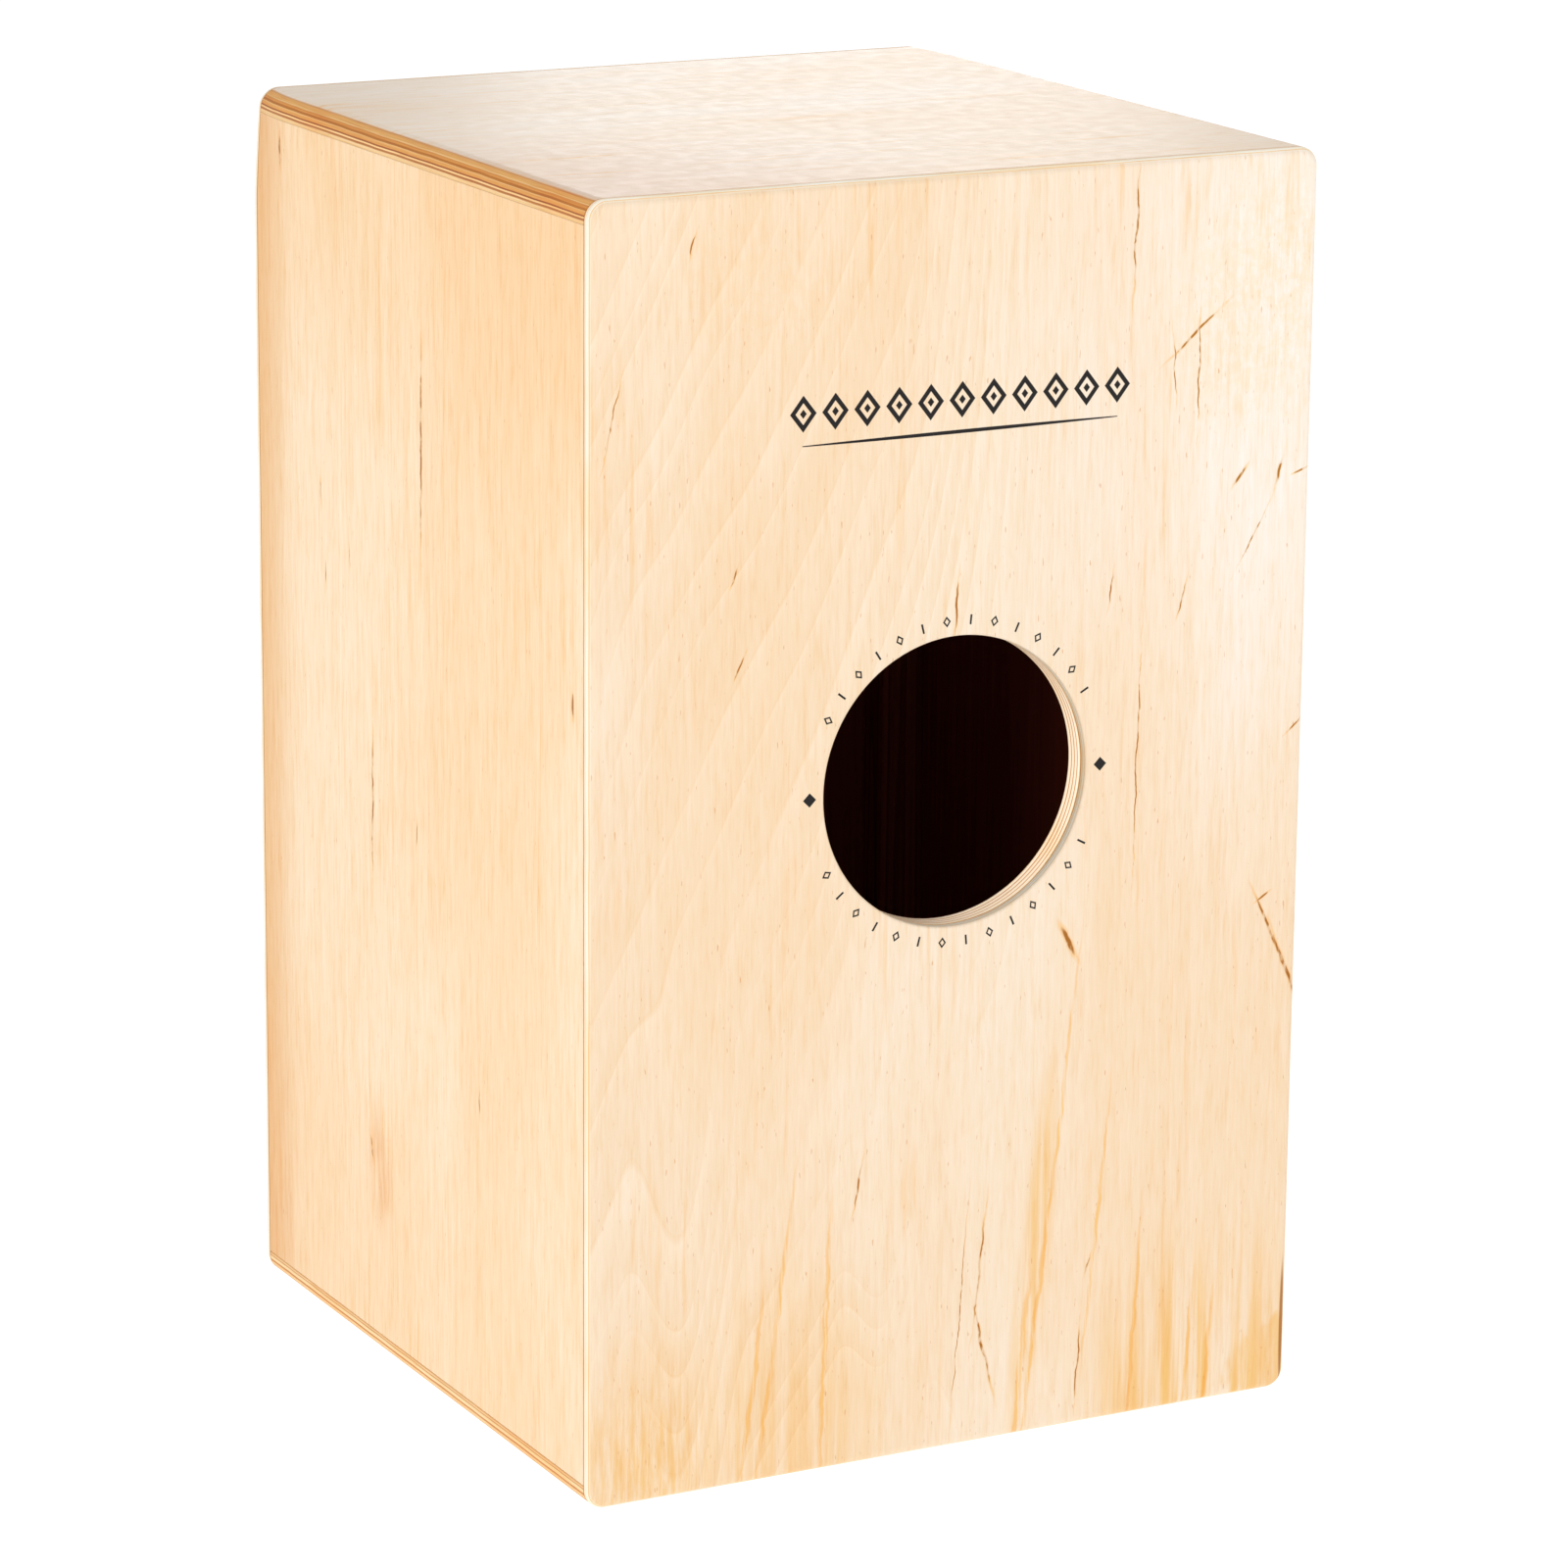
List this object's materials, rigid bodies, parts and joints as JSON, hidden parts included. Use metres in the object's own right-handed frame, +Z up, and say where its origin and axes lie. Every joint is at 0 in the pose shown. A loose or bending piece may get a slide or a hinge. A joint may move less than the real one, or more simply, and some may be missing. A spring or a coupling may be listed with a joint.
{
  "type": "cajon box drum",
  "caption": "Birch plywood box drum with a thin front striking plate, a round rear sound hole, internal snare wires and rubber feet.",
  "frame": {"origin": "middle of the box's footprint, on the surface that the feet stand on", "axes": "+Z up, +Y towards the back panel with the sound hole, so the front striking plate faces -Y, +X to the right of someone facing the front plate"},
  "size_m": [0.3, 0.3, 0.495],
  "materials": {
    "birch_board": "pale birch plywood, satin clear coat, plies showing on cut and rounded edges",
    "birch_panel": "pale birch veneer, vertical grain, satin clear coat",
    "batten": "planed softwood, unfinished",
    "snare_steel": "bright plated steel",
    "black_steel": "blackened steel, satin",
    "rubber": "matt black moulded rubber"
  },
  "bodies": {
    "root": {"top_board": "birch_board", "bottom_board": "birch_board", "side_board_left": "birch_board", "side_board_right": "birch_board", "sound_hole_ring": "birch_board", "back_panel": "birch_panel", "front_plate": "birch_panel", "front_batten_top": "batten", "front_batten_bottom": "batten", "front_batten_left": "batten", "front_batten_right": "batten", "back_batten_top": "batten", "back_batten_bottom": "batten", "back_batten_left": "batten", "back_batten_right": "batten", "snare_rail": "batten", "snare_wires_left": "snare_steel", "snare_wires_right": "snare_steel", "snare_screw_left_outer": "black_steel", "snare_screw_left_inner": "black_steel", "snare_screw_right_outer": "black_steel", "snare_screw_right_inner": "black_steel", "rail_screw_left_lower": "black_steel", "rail_screw_left_upper": "black_steel", "rail_screw_right_lower": "black_steel", "rail_screw_right_upper": "black_steel", "plate_screw_left_1": "black_steel", "plate_screw_left_2": "black_steel", "plate_screw_left_3": "black_steel", "plate_screw_left_4": "black_steel", "plate_screw_right_1": "black_steel", "plate_screw_right_2": "black_steel", "plate_screw_right_3": "black_steel", "plate_screw_right_4": "black_steel", "plate_screw_bottom_1": "black_steel", "plate_screw_bottom_2": "black_steel", "plate_screw_bottom_3": "black_steel", "plate_screw_top_1": "black_steel", "plate_screw_top_2": "black_steel", "plate_screw_top_3": "black_steel", "foot_front_left": "rubber", "foot_screw_front_left": "black_steel", "foot_front_right": "rubber", "foot_screw_front_right": "black_steel", "foot_back_left": "rubber", "foot_screw_back_left": "black_steel", "foot_back_right": "rubber", "foot_screw_back_right": "black_steel"}
  },
  "joints": []
}
